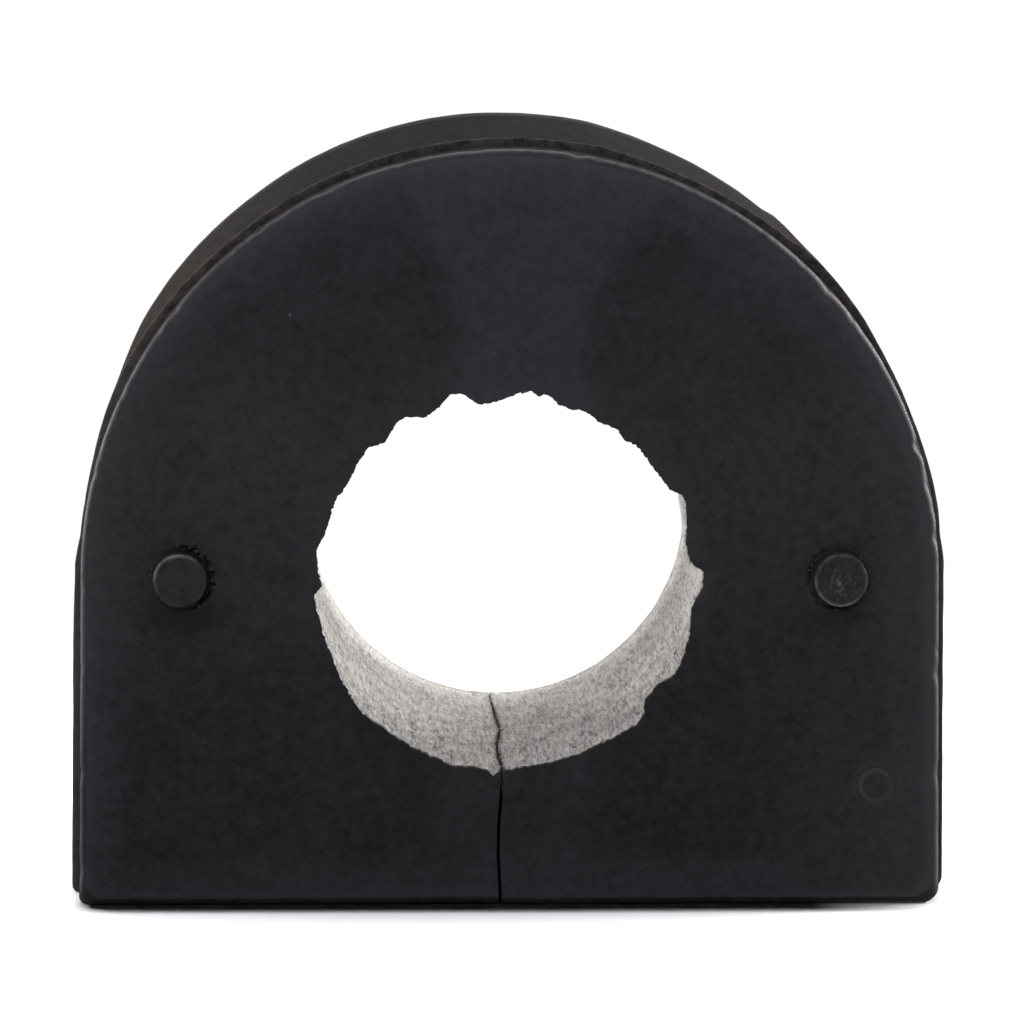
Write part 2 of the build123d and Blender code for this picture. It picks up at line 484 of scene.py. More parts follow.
def outlineOf(radius, ledge, inset, foot):
    # The D as seen along the bore: elevation angles, and the outline's distance from the bore's axis
    base, foot = form["drop"] - inset, foot - inset
    side, arch = radius + ledge - inset, radius - inset
    bottom, top = (form["ledgeBottom"], form["ledgeTop"]) if ledge else (0.0, 0.0)
    slope = form["flare"] / (form["drop"] + bottom)
    footZ = foot - base
    footX = side + slope * (bottom - footZ) - foot * math.hypot(1, slope)
    step = np.linspace(0, 1, 240)
    turn = -math.pi / 2 + (math.pi / 2 + math.atan(slope)) * step
    sideZ = np.linspace(footZ + foot * math.sin(math.atan(slope)), bottom, len(step))
    archTurn = math.asin(top / arch) + (math.pi / 2 - math.asin(top / arch)) * step
    x = [footX * step, footX + foot * np.cos(turn), side + slope * (bottom - sideZ)]
    x.append(arch * np.cos(archTurn))
    z = [0 * step - base, footZ + foot * np.sin(turn), sideZ, arch * np.sin(archTurn)]
    x, z = np.concatenate(x), np.concatenate(z)
    return np.arctan2(z, x), np.hypot(x, z)


def reachOf(angle, radius, ledge=0.0, inset=0.0, feet=bodyLook["feet"]):
    # How far the D reaches from the bore's axis at those angles
    rise = np.arcsin(np.clip(np.sin(angle), -1, 1))
    right = np.interp(rise, *outlineOf(radius, ledge, inset, feet[1]))
    left = np.interp(rise, *outlineOf(radius, ledge, inset, feet[0]))
    return np.where(np.cos(angle) > 0, right, left)


def columnAngles(count):
    # Once round the bore from the slit, closer together at the slit, the feet and the side ledges
    fine = np.linspace(-90, 270, 7201)  # degrees, each twentieth
    crowd = np.ones_like(fine)
    for centre, width, extra in bodyLook["crowded"]:
        crowd += extra * bell(fine, centre, width)
    total = np.cumsum(crowd)
    share = (total - total[0]) / (total[-1] - total[0])
    return np.radians(np.interp(np.linspace(0, 1, count), share, fine))


def leanToSlit(angle, radius, left, right, spread):
    # The first and last columns lie on the walls of a cut, at those distances to the right of the axis
    rightTurn = np.arcsin(right / radius) * bell(angle, angle[0], spread)
    leftTurn = np.arcsin(left / radius) * bell(angle, angle[-1], spread)
    return angle + rightTurn + leftTurn


def tornMouth(angle):
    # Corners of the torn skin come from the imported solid, and the finest tearing is added to them
    look = bodyLook
    points = np.array([v.co for v in frame["nodes"]["rubber_body"].data.vertices]) / mm
    radius = np.hypot(points[:, 0], points[:, 2])
    edge = (np.abs(points[:, 1] - frontY) < 0.01) & (radius < form["bore"])
    corner = np.arctan2(points[edge, 2], points[edge, 0])
    order = np.argsort(corner)
    mouth = np.interp(angle, corner[order], radius[edge][order], period=2 * math.pi)
    wall = around(angle, form["bore"])
    mouth += look["ragged"] * (np.abs(ripple(wall, look["raggedSize"], 3, 2.0)) * 2 - 0.6)
    across, up = look["mouthShift"]
    mouth += look["mouthGrowth"] + across * np.cos(angle) + up * np.sin(angle)
    return mouth + look["ragged"] * 0.4 * ripple(wall, look["raggedSize"] / 4, 2, 5.0)


# How much each thing adds to the lighter tone (bloom, painted highlight and painted shade) and the dust
# of an end face
faceLook = {
    "below": 0.4,  # plain field below the bore
    "border": 0.4,  # and inside the rim
    "wiped": 0.35,  # band across the left side
    "outer": 0.2,  # the lobes get paler away from the middle
    "corner": 0.55,  # lower right
    "halo": 0.7,  # round the mouth
    "paintedRimHighlight": (0.9, 1.4),  # painted highlight along the rim, and how much more at the right
    "wideRimHighlight": 0.7,
    "climb": 0.01,  # painted light: lighter for each mm up
    "dust": 0.42,
    "rightDust": 0.3,
}


def faceFields(x, z, fromRim):
    # Plain fields between the lobes that the mould sank: above the bore, below it, inside the rim
    climb = np.clip((z - 15) / 8, 0, 1.2)
    left, right = -3.1 - 3.0 * climb ** 1.5, 4.9 + 4.0 * climb ** 1.7
    upper = fade(x, left - 1.4, left + 1.2) * (1 - fade(x, right - 1.3, right + 1.6)) * fade(z, 3, 9)
    lower = fade(x, -5.6, -3.4) * (1 - fade(x, 4.0, 7.5)) * fade(-z, 7, 12)
    return upper, lower, 1 - fade(fromRim, 1.4, 4.0)


def faceBloomAndShading(x, z, fromRim, fromMouth, pegShadowWeight=1.0):
    # Lighter tone on an end face: strongest above the bore, with a painted highlight along the rim,
    # painted shade darker towards the base and a painted shadow below the pegs
    look = faceLook
    upper, lower, border = faceFields(x, z, fromRim)
    aside, away = (x + 16.5) * 0.9 - (z - 9.8) * 0.44, (x + 16.5) * 0.44 + (z - 9.8) * 0.9
    lobes = look["wiped"] * bell(aside, 0, 6.0) * bell(away, 0, 1.8)
    lobes = lobes + look["outer"] * fade(np.abs(x), 6, 17) * fade(z, -9, 0)
    lobes = lobes + look["corner"] * fade(x, 13, 22) * fade(-z, 4, 12)
    halo = look["halo"] * (1 - fade(fromMouth, -0.5, 2.4)) * fade(z, -8, 1)
    # Painted shadow below each peg
    pegShadow = sum(peg["shade"] * bell(x, peg["x"], 1.8) * bell(z, -2.2, 1.0) for peg in pegs)
    # Painted highlight: a lighter band just inside the rim, widest and strongest at the right
    least, more = look["paintedRimHighlight"]
    paintedRimHighlight = (least + more * fade(x, 14, 26)) * (1 - fade(fromRim, -0.4, 1.0))
    paintedRimHighlight = paintedRimHighlight + look["wideRimHighlight"] * (1 - fade(fromRim, -0.6, 3.4 + 1.6 * fade(x, -10, 20)))
    plain = np.maximum.reduce([upper, look["below"] * lower, look["border"] * border])
    return plain + lobes * (1 - border) + paintedRimHighlight + halo - pegShadowWeight * pegShadow + look["climb"] * z


def faceDust(x, z):
    # Neutral dust on the front face: most at the bore's level and down the right side
    upper = faceFields(x, z, 9.0)[0]
    right = faceLook["rightDust"] * fade(x, 15, 25) * fade(-z, -6, 4)
    return (faceLook["dust"] * bell(z, 6, 8) + right) * (1 - 0.8 * upper)


def rubberBody():
    look = bodyLook
    angle = columnAngles(look["columns"])
    rim = reachOf(angle, rimRadius)
    rimFace = reachOf(angle, rimRadius, inset=form["rimEdge"], feet=look["faceFeet"])
    groove = reachOf(angle, rimRadius - form["grooveDepth"])
    stray = np.interp(np.degrees(angle), *zip(*look["stray"]))
    block = reachOf(angle, form["arch"], form["ledge"]) + stray
    mouth = tornMouth(angle)
    rows, shades = [], []  # distance from the axis and level along it, and the shades of each row

    def addRow(radius, y, zone, bloomAndShading=0.0, wornAndLit=None, dust=None):
        rows.append((radius + 0 * angle, y + 0 * angle))
        dusty, scrapedAndLit, recessShade = zoneShade[zone]
        dusty, scrapedAndLit = dusty if dust is None else dust, scrapedAndLit if wornAndLit is None else wornAndLit
        shades.append([value + 0 * angle for value in (bloomAndShading, dusty, scrapedAndLit, recessShade)])

    # Back of the skin, which gets thinner towards the tear, then the torn edge itself
    for share, thin in look["skinRows"]:
        addRow(mouth + (form["seat"] - mouth) * share, lipY - thin, "skin")
    for level, back in look["tearRows"]:
        pull = 0.03 * ripple(around(angle, form["bore"], level * 3), 0.3, 2, 9.0)
        addRow(mouth + back + pull, lipY - level * form["lip"], "skin", bloomAndShading=0.6 * level)

    # Front face, out to the rounding of the rim
    start = mouth + 0.07
    for even in np.linspace(0, 1, look["faceRows"]):
        share = 0.62 * even + 0.38 * (1 - math.cos(math.pi * even)) / 2
        radius = start + (rimFace - start) * share
        x, z = radius * np.cos(angle), radius * np.sin(angle)
        upper, lower, border = faceFields(x, z, rimFace - radius)
        depth = look["dishDepth"] * (1 - upper) * (1 - lower) * (1 - border)
        depth = depth * fade(radius - mouth, 0.8, 3.2)
        wave = ripple(around(angle, radius), look["waveSize"], 3, 3.0)
        depth += look["waveDepth"] * (1 + wave) * fade(rimFace - radius, 0, 2)
        bloomAndShading = faceBloomAndShading(x, z, rimFace - radius, radius - mouth)
        addRow(radius, frontY + depth, "face", bloomAndShading=bloomAndShading, dust=faceDust(x, z))

    # Rim's rounded edge: scuffed, with a painted highlight strongest in the middle of the rounding and
    # round the rim at the upper right
    facing = np.degrees(angle)
    rubbedAndLit = 0.34 + 0.95 * bell(facing, 40, 14) + 0.4 * bell(facing, 8, 8)
    rubbedAndLit = rubbedAndLit * (1 - 0.3 * bell(facing, 115, 20))
    firstEdge = len(rows)
    for degrees, wornAndLit in look["edgeRows"]:
        turn = math.radians(degrees)
        y = frontY + form["rimEdge"] * (1 - math.cos(turn))
        radius = rimFace + (rim - rimFace) * math.sin(turn)
        # Painted shade at the base, less painted highlight at the lower left, and more painted
        # highlight to the right
        aboveBase = fade(radius * np.sin(angle), -form["drop"] + 0.3, -form["drop"] + 1.6)
        lowLeft = fade(-np.cos(angle), 0.6, 0.9) * fade(-radius * np.sin(angle), 5, 13)
        bloomAndShading = (1.5 + 1.6 * fade(np.cos(angle), 0.5, 0.95)) * aboveBase * (1 - 0.9 * lowLeft)
        wornAndLit = wornAndLit * (0.12 + 0.88 * aboveBase) * rubbedAndLit * (1 - lowLeft)
        addRow(radius, y, "land", bloomAndShading=bloomAndShading, wornAndLit=wornAndLit)

    wallY = rearY - form["rimThickness"]
    blockY = wallY - form["grooveWidth"]
    half = [(groove + (rim - groove) * s, wallY + y, zone) for s, y, zone in look["rimWall"]]
    half += [(groove + (block - groove) * s, blockY + y, zone) for s, y, zone in look["blockWall"]]

    # Land of the front rim, groove and block, then the same at the rear
    firstSide = len(rows)
    beside = 3.2 * fade(np.abs(np.cos(angle)), 0.75, 0.97)  # the block's walls are paler at the sides
    for radius, y, zone in half:
        addRow(radius, -y, zone, bloomAndShading=beside)
    for y in np.linspace(0.5 - blockY, blockY - 0.5, 8):
        # Painted light from behind: the arch turns paler towards its rear end
        rear = fade(y, 10, 14)
        addRow(block, y, "block", bloomAndShading=0.35, wornAndLit=0.6 * rear, dust=0.9 - 0.4 * rear)
    for radius, y, zone in reversed(half):
        addRow(radius, y, zone)
    lastSide = len(rows)
    for degrees in (90, 70, 50, 30, 12, 0):
        turn = math.radians(degrees)
        y = rearY - form["rimEdge"] * (1 - math.cos(turn))
        radius = rimFace + (rim - rimFace) * math.sin(turn)
        addRow(radius, y, "land", bloomAndShading=0.5, wornAndLit=0.25 * math.sin(2 * turn))
    for share in np.linspace(0.97, 0.0, 15):
        radius = form["seat"] + (rimFace - form["seat"]) * share
        x, z = radius * np.cos(angle), radius * np.sin(angle)
        bloomAndShading = 0.6 * faceBloomAndShading(x, z, rimFace - radius, radius - form["seat"], pegShadowWeight=0.0)
        addRow(radius, rearY, "face", bloomAndShading=bloomAndShading, dust=0.8 * faceDust(x, z))
    for y in (rearY - 0.4, 6.0, -6.0, lipY + 0.4):
        addRow(form["seat"], y, "seat")

    # Columns lean to the slit's course
    radius = np.array([r for r, y in rows])
    level = np.array([y for r, y in rows])
    depth = (radius - form["bore"]) / (form["drop"] - form["bore"])
    middle = np.interp(depth, *zip(*form["slitCourse"]))
    wide = form["slitWidth"] / 2
    leaned = leanToSlit(angle, radius, middle - wide, middle + wide, math.radians(look["slitFade"]))
    points = around(leaned, radius, level)
    onBase = np.abs(radius * np.sin(angle) + form["drop"]) < 0.001
    points[..., 2] = np.where(onBase, -form["drop"], points[..., 2])
    outward = around(leaned, 1.0)

    # Handling and moulding left the edge of the rim uneven
    rounded = slice(firstEdge - 3, firstSide + 4)  # with a few rows of the face and the land
    edge = points[rounded]
    wear = ripple(edge, look["wearSize"], 2, 7.0) * look["wearDepth"]
    onEdge = fade(edge[..., 1], frontY - 0.01, frontY + 0.12)
    onEdge = onEdge * fade(edge[..., 2], -form["drop"], -form["drop"] + 1.5)
    edge -= outward[rounded] * (np.abs(wear) * onEdge)[..., None]
    chance = random.Random(look["seed"])
    spots = []
    for _ in range(look["nicks"]):
        spots.append((chance.uniform(-35, 215), chance.uniform(0.25, 0.5), chance.uniform(0.03, 0.09)))
    for degrees, size, cut in spots + look["largeNicks"]:
        turn = math.radians(degrees)
        reach = float(reachOf(turn, rimRadius, inset=0.12))
        spot = around(turn, reach, frontY + chance.uniform(0.02, 0.3))
        near = bell(np.linalg.norm(edge - spot, axis=-1), 0, size)
        edge -= (outward[rounded] * 0.8 - np.array([0, 0.6, 0])) * (near * cut)[..., None]

    wall = len(half) - 1
    land = slice(firstSide + wall, lastSide - wall)
    sag = np.abs(ripple(points[land], look["sagSize"], 3, 4.0)) * look["sagDepth"]
    sag = sag * fade(points[land][..., 2], -form["drop"], -form["drop"] + 2)
    points[land] -= outward[land] * sag[..., None]
    widest = form["arch"] + form["ledge"] + form["flare"] - 0.02
    points[..., 0] = np.clip(points[..., 0], -widest, widest)
    points[..., 2] = np.clip(points[..., 2], -form["drop"], form["arch"] - 0.02)

    # Faces of the sides and the arch take the duller rubber
    count = len(angle) - 1
    dull = np.zeros(len(rows) * count + 2, dtype=np.int32)
    dull[(firstEdge + 4) * count:lastSide * count] = 1
    names = ("bloomedAndShaded", "dusty", "wornAndLit", "recessShade")
    shade = {name: np.array([row[i] for row in shades]) for i, name in enumerate(names)}
    mesh = newMesh("rubberMoulding", points.reshape(-1, 3), loopFaces(len(rows), len(angle)), shade)
    mesh.polygons.foreach_set("material_index", dull)
    return mesh, mouth, angle


def refineFace(shell, x, z, reach, cuts):
    # Splits the quads of the front face round a point
    chosen = []
    for face in shell.faces:
        middle = face.calc_center_median() / mm
        if abs(middle.y - frontY) < 0.3 and math.hypot(middle.x - x, middle.z - z) < reach:
            chosen.append(face)
    edges = list({edge for face in chosen for edge in face.edges})
    bmesh.ops.subdivide_edges(shell, edges=edges, cuts=cuts, use_grid_fill=True)


def sinkFace(shell, x, z, reach, depthAt, bloomAndShading):
    # Moves points of the front face back by a depth in mm that a function gives, and lightens or
    # darkens them by it; round the pegs the darkening is painted shade
    bloomedAndShaded = shell.verts.layers.float["bloomedAndShaded"]
    for vertex in shell.verts:
        dx, dz = vertex.co.x / mm - x, vertex.co.z / mm - z
        if abs(vertex.co.y / mm - frontY) < 0.35 and math.hypot(dx, dz) < reach:
            depth = depthAt(dx, dz)
            vertex.co.y += depth * mm
            vertex[bloomedAndShaded] += bloomAndShading * depth


markLook = {
    "refined": 1.8, "cuts": 5, "reach": 1.7, "bloomAndShading": 38.0, "width": 0.25, "depth": 0.08, "step": 1.42,
}


def markDepth(dx, dz):
    # Plain ring that an ejector left, worn on one side, with a fainter step outside it
    inside, outside = form["markRadius"] - markLook["width"], form["markRadius"]
    distance = math.hypot(dx, dz)
    ring = fade(distance, inside - 0.08, inside + 0.06)
    ring = ring * (1 - fade(distance, outside - 0.06, outside + 0.08))
    ring += 0.3 * bell(distance, markLook["step"], 0.09) * fade(dz - dx, -0.4, 1.2)
    return float(markLook["depth"] * ring * (0.28 + 0.72 * fade(dz - dx, -1.5, 1.3)))


def moatDepth(peg):
    # The mould sank a narrow uneven ring round each peg
    toward, shallow = math.radians(peg["moat"][0]), peg["moat"][1]
    inside, outside = form["pegRadius"], form["pegRadius"] + pegLook["moatWidth"]

    def depthAt(dx, dz):
        distance = math.hypot(dx, dz)
        wander = 0.3 * noise.noise(Vector((dx * 2.6, peg["seed"], dz * 2.6)))
        ring = fade(distance, inside - 0.12, inside + 0.05)
        ring = ring * (1 - fade(distance, outside - 0.25 + wander, outside + wander))
        facing = fade(math.cos(math.atan2(dz, dx) - toward), -0.3, 0.7)
        return float(peg["moatDepth"] * ring * (1 + 2 * wander) * (shallow + (1 - shallow) * facing))

    return depthAt


bodyMesh, mouth, mouthAngle = rubberBody()
shell = bmesh.new()
shell.from_mesh(bodyMesh)
refineFace(shell, form["markX"], form["markZ"], markLook["refined"], markLook["cuts"])
sinkFace(shell, form["markX"], form["markZ"], markLook["reach"], markDepth, markLook["bloomAndShading"])
for peg in pegs:
    refineFace(shell, peg["x"], 0.0, pegLook["reach"], pegLook["cuts"])
    sinkFace(shell, peg["x"], 0.0, pegLook["reach"], moatDepth(peg), pegLook["moatShade"])
shell.to_mesh(bodyMesh)
shell.free()
addPiece(bodyMesh, [faceRubber, archRubber], "rubber_body", 40)
print("rubber body:", sum(len(face.vertices) - 2 for face in bodyMesh.polygons), "triangles")


def pegShell(peg):
    # A short moulded peg: worn edge with a painted highlight, and a top that the mould left uneven
    radius, height, edge = form["pegRadius"], form["pegHeight"], pegLook["edge"]
    section = [(radius + 0.1, -pegLook["sunk"], 0.0), (radius + 0.06, 0.0, 0.0)]
    section += [(radius + 0.02, 0.12, 0.0), (radius, 0.3, 0.0), (radius, 0.6, 0.1)]
    for degrees, wornAndLit in ((0, 0.0), (18, 0.15), (36, 0.8), (54, 0.9), (72, 0.2), (90, 0.0)):
        turn = math.radians(degrees)
        r, h = radius - edge * (1 - math.cos(turn)), height - edge * (1 - math.sin(turn))
        section.append((r, h, wornAndLit))
    section += [(radius * share, height, 0.0) for share in np.linspace(0.79, 0.05, 16)]
    turn = np.linspace(0, 2 * math.pi, pegLook["columns"], endpoint=False)
    vertices, wornAndLitValues = [], []
    for r, h, wornAndLit in section:
        x, z = r * np.cos(turn), r * np.sin(turn)
        place = np.column_stack([x, np.full_like(x, h), z])
        side = 1 + pegLook["wobble"] * ripple(place, 0.9, 3, peg["seed"]) / radius * fade(h, 0, 0.3)
        onTop = fade(h, height - edge, height) * np.ones_like(x)
        bump = peg["rough"] * ripple(place, 0.45, 4, peg["seed"] + 5)
        lift = peg["hollow"] * (fade(r / radius, 0.7, 0.84) - 1) + peg["slope"] * (x + z) / radius
        y = frontY - h - onTop * (bump + lift - pegLook["dished"])
        vertices += np.column_stack([peg["x"] + x * side, y, z * side]).tolist()
        scratched = fade(np.abs(ripple(place, 0.4, 4, peg["seed"] + 2)), 0.1, 0.45) * (r < 0.8 * radius)
        scratched *= peg["scratched"] * np.exp(-((x + 0.1) ** 2 + (z + 0.3) ** 2) / 0.5)
        # Painted highlight on the edge, strongest at the peg's lit angle
        lit = fade(np.cos(turn - math.radians(peg["lit"])), 0.1, 0.9)
        wornAndLitValues += (wornAndLit * (peg["ring"] + 1.1 * lit) + scratched).tolist()
    even = np.ones(len(vertices))
    shades = {"wornAndLit": wornAndLitValues, "bloomedAndShaded": 0.3 * even, "dusty": 0.25 * even}
    return newMesh(peg["name"], vertices, tubeFaces(len(section), len(turn)), shades)


for peg in pegs:
    addPiece(pegShell(peg), [faceRubber], None)
print("pegs made")

# Crumbs of flash that the mould left round the pegs

crumbLook = {"fineness": 2, "seed": 21}
crumbSpots = {  # from each peg's middle: across, up, size
    "leftPeg": [
        (1.32, 1.42, 0.15), (1.0, 1.7, 0.13), (1.95, 0.62, 0.14), (2.25, 0.3, 0.12),
        (1.98, -0.12, 0.13), (1.2, -1.72, 0.12), (1.45, -1.55, 0.1), (-1.75, 0.62, 0.1),
        (-1.86, 0.2, 0.1), (-0.2, 2.0, 0.1), (0.55, 1.95, 0.1), (2.15, -0.55, 0.1),
    ],
    "rightPeg": [
        (-1.72, 0.86, 0.11), (-1.95, 0.5, 0.11), (-1.7, 0.45, 0.09), (-1.55, 1.1, 0.09),
        (1.35, 1.25, 0.12), (1.5, 0.95, 0.11), (2.2, 0.1, 0.11), (1.9, -0.5, 0.1), (0.2, 1.95, 0.1),
        (0.45, 2.1, 0.09), (-0.2, -2.0, 0.1), (1.05, 1.6, 0.09),
    ],
}


def crumbShell():
    # Small torn lumps, each pressed into the face
    chance = random.Random(crumbLook["seed"])
    ball = bmesh.new()
    bmesh.ops.create_icosphere(ball, subdivisions=crumbLook["fineness"], radius=1.0)
    shape = np.array([v.co for v in ball.verts])
    sides = [[v.index for v in face.verts] for face in ball.faces]
    ball.free()
    vertices, triangles = [], []
    for peg in pegs:
        for across, up, size in crumbSpots[peg["name"]]:
            seed = chance.uniform(0, 90)
            stretch = [chance.uniform(*span) for span in ((0.7, 1.3), (0.6, 1.0), (0.7, 1.3))]
            lump = shape * stretch * (1 + 0.5 * ripple(shape, 0.9, 3, seed))[:, None] * size
            start = len(vertices)
            vertices += (lump + np.array([peg["x"] + across, frontY + 0.4 * size, up])).tolist()
            triangles += [[start + i for i in side] for side in sides]
    return newMesh("flashCrumbs", vertices, triangles, {"bloomedAndShaded": np.full(len(vertices), 0.6)})


addPiece(crumbShell(), [crumbRubber], None)
print("crumbs made")

# Felted liner

linerLook = {
    "columns": 480,
    "rows": 150,
    "strand": 0.016,  # height of the felt's strands
    "cloud": 0.02,
    "jag": 0.06,  # torn fibres along the slit
    "pinch": 0.075,  # the walls of the slit all but touch at the rear end
    "bulge": 0.4,  # the rear end swells in at the right
    "gape": 0.03,  # the cut felt shrinks back this much on each side of the slit
    "slitFade": 10.0,
    "slitShadeWidth": 0.16,  # width of the painted shade along the slit
}


def linerSleeve():
    look = linerLook
    angle = np.radians(np.linspace(-90, 270, look["columns"]))
    rows = [(form["bore"], y, 1.0) for y in np.linspace(lipY + 0.02, rearY - 0.12, look["rows"])]
    rows += [(form["bore"] + 0.04, rearY - 0.03, 0.5), (form["bore"] + 0.14, rearY, 0.2)]
    rows += [(form["seat"] - 0.1, rearY, 0.0)]
    rows += [(form["seat"] - 0.004, y, 0.0) for y in (rearY - 0.02, 0.0, lipY + 0.02)]
    rows += [(form["seat"] - 0.2, lipY + 0.004, 0.0), (form["bore"] + 0.1, lipY + 0.004, 0.0)]
    radius, level, soft = [np.array(values)[:, None] for values in zip(*rows)]
    middle = np.interp((level - frontY) / form["length"], *zip(*form["linerCourse"]))
    line = np.concatenate([0 * level, level, 0 * level], axis=1)
    wide = form["linerSlit"] / 2 + look["gape"] + 0.08 * (1 - fade(level, lipY + 0.3, lipY + 2))
    wide = wide - look["pinch"] * fade(level, 9, rearY - 1)
    leftWall = middle - wide + look["jag"] * ripple(line, 0.5, 4, 6.0)[:, None]
    rightWall = middle + wide + look["jag"] * ripple(line, 0.5, 4, 16.0)[:, None]
    leaned = leanToSlit(angle, radius, leftWall, rightWall, math.radians(look["slitFade"]))
    points = around(leaned, radius, level)
    felted = ripple(points * np.array([1, 0.12, 1]), 0.26, 2, 1.0) * look["strand"]
    felted += ripple(points * np.array([1, 0.5, 1]), 1.6, 3, 12.0) * look["cloud"]
    swell = radius - (felted + look["strand"]) * soft
    bulge = bell(np.degrees(leaned), 3.5, 7) * fade(level, 2, rearY - 1)
    swell = swell - look["bulge"] * bulge * (radius < form["seat"] - 0.3)
    points[..., 0], points[..., 2] = swell * np.cos(leaned), swell * np.sin(leaned)
    gap = np.minimum(np.abs(points[..., 0] - leftWall), np.abs(points[..., 0] - rightWall))
    # Painted shade in and along the slit, below the axis
    slit = bell(gap, 0, look["slitShadeWidth"]) * (points[..., 2] < 0)
    slit[:, [0, -1]] = 1.0
    cut = (slit > 0.97) | ((soft < 1) & (gap < 0.3) & (points[..., 2] < 0))
    slit = np.maximum(slit * 0.5 * fade(soft, 0, 1), cut)
    return newMesh("feltLiner", points.reshape(-1, 3), loopFaces(len(rows), len(angle)), {"slit": slit})


linerMesh = linerSleeve()
addPiece(linerMesh, [felt], "bore_liner", 60)
print("liner:", sum(len(face.vertices) - 2 for face in linerMesh.polygons), "triangles")

# Cut fibres along the tear, the slit and over the felt

fuzzLook = {
    "thickness": 0.016,
    # How many fibres, their least and greatest length, and how much they bend
    "edge": (1100, 0.12, 0.4, 0.35),
    "slit": (120, 0.1, 0.3, 0.3),
    "felt": (1800, 0.3, 0.9, 0.15),
    "seed": 5,
}


def strandShell(paths, thickness):
    # Thin three-sided strands, closed at both ends
    vertices, faces = [], []
    for path in paths:
        path = np.array(path)
        along = np.gradient(path, axis=0)
        along /= np.linalg.norm(along, axis=1)[:, None] + 1e-9
        aside = np.cross(along, (0.3, 0.5, 0.8))
        aside /= np.linalg.norm(aside, axis=1)[:, None] + 1e-9
        third = np.cross(along, aside)
        faces += tubeFaces(len(path), 3, len(vertices))
        for i, p in enumerate(path):
            thin = thickness * (1.0 if 0 < i < len(path) - 1 else 0.5)
            for turn in (0, 2 * math.pi / 3, 4 * math.pi / 3):
                vertices.append(p + thin * (aside[i] * math.cos(turn) + third[i] * math.sin(turn)))
    return vertices, faces


def wander(chance, start, heading, length, bend, steps=4):
    # A short strand that bends at random
    path = [np.array(start, float)]
    heading = np.array(heading, float)
    for _ in range(steps - 1):
        heading = heading + np.array([chance.gauss(0, bend) for _ in range(3)])
        heading /= np.linalg.norm(heading)
        path.append(path[-1] + heading * length / (steps - 1))
    return path


def fuzzPaths(look):
    chance = random.Random(look["seed"])
    edge, lying = [], []
    count, least, most, bend = look["edge"]
    for _ in range(count):
        turn = math.radians(chance.choice([chance.uniform(180, 372), chance.uniform(265, 375)]))
        column = turn if turn < mouthAngle[-1] else turn - 2 * math.pi
        r = float(np.interp(column, mouthAngle, mouth)) + chance.uniform(0.0, 0.05)
        y = frontY + form["lip"] * chance.uniform(0.35, 0.85)
        tangent = np.array([-math.sin(turn), chance.gauss(0, 0.3), math.cos(turn)])
        tangent = tangent * chance.choice([-1, 1])
        start = around(turn, r, y)
        if abs(start[0] + 0.55) > 0.35:  # none across the slit
            edge.append(wander(chance, start, tangent, chance.uniform(least, most), bend))
    count, least, most, bend = look["slit"]
    for _ in range(count):
        y = chance.uniform(lipY + 2.0, rearY - 0.2)
        side = chance.choice([-1, 1])
        x = float(np.interp((y - frontY) / form["length"], *zip(*form["linerCourse"]))) + side * 0.1
        r = form["bore"] - 0.02
        heading = (side * chance.uniform(-0.2, 1.0), chance.gauss(0, 0.6), 0.4)
        start = (x, y, -math.sqrt(r * r - x * x))
        edge.append(wander(chance, start, heading, chance.uniform(least, most), bend))
    count, least, most, bend = look["felt"]
    for _ in range(count):
        turn = math.radians(chance.uniform(150, 390))
        y = chance.uniform(lipY + 0.4, rearY - 0.6)
        r = form["bore"] - 0.035
        drift = chance.gauss(0, 0.5)
        heading = np.array([-math.sin(turn) * drift, chance.choice([-1, 1]), math.cos(turn) * drift])
        path = wander(chance, around(turn, r, y), heading, chance.uniform(least, most), bend)
        for p in path:  # strands lie on the felt
            p[[0, 2]] *= (r - chance.uniform(0, 0.02)) / math.hypot(p[0], p[2])
        lying.append(path)
    for path in edge + lying:
        for p in path:
            p[1] = min(p[1], rearY - 0.05)
    return edge, lying


edgePaths, feltPaths = fuzzPaths(fuzzLook)
for name, paths in (("cutFibres", edgePaths), ("looseStrands", feltPaths)):
    strands = newMesh(name, *strandShell(paths, fuzzLook["thickness"]))
    addPiece(strands, [fibre], None, 180)
print("fibres made")

# Floor

floorLook = {
    "size": 6000.0,
    "paper": "#f4f4f5",
    "pulpSize": 1.5,
    "pulpWeight": 0.03,
    "bounce": "#8a8a8c",  # what the part sees of the paper
    "creaseReach": 4.6,  # mm that the darkest part of the contact shadow reaches
    "closed": 0.82,  # open share of the sky at which the paper is darkest
    "open": 0.88,
    "rays": 8,  # samples of the open sky
    "rightEnd": (19.0, 30.0, 1.0),  # mm between which the shadow fades out, and how far
    "leftEnd": (-26.4, -27.6, 1.0),
    "rearEnd": (13.0, 19.0, 0.75),
    "near": 70.0,  # from here the paper starts to glow, up to far
    "far": 130.0,
}


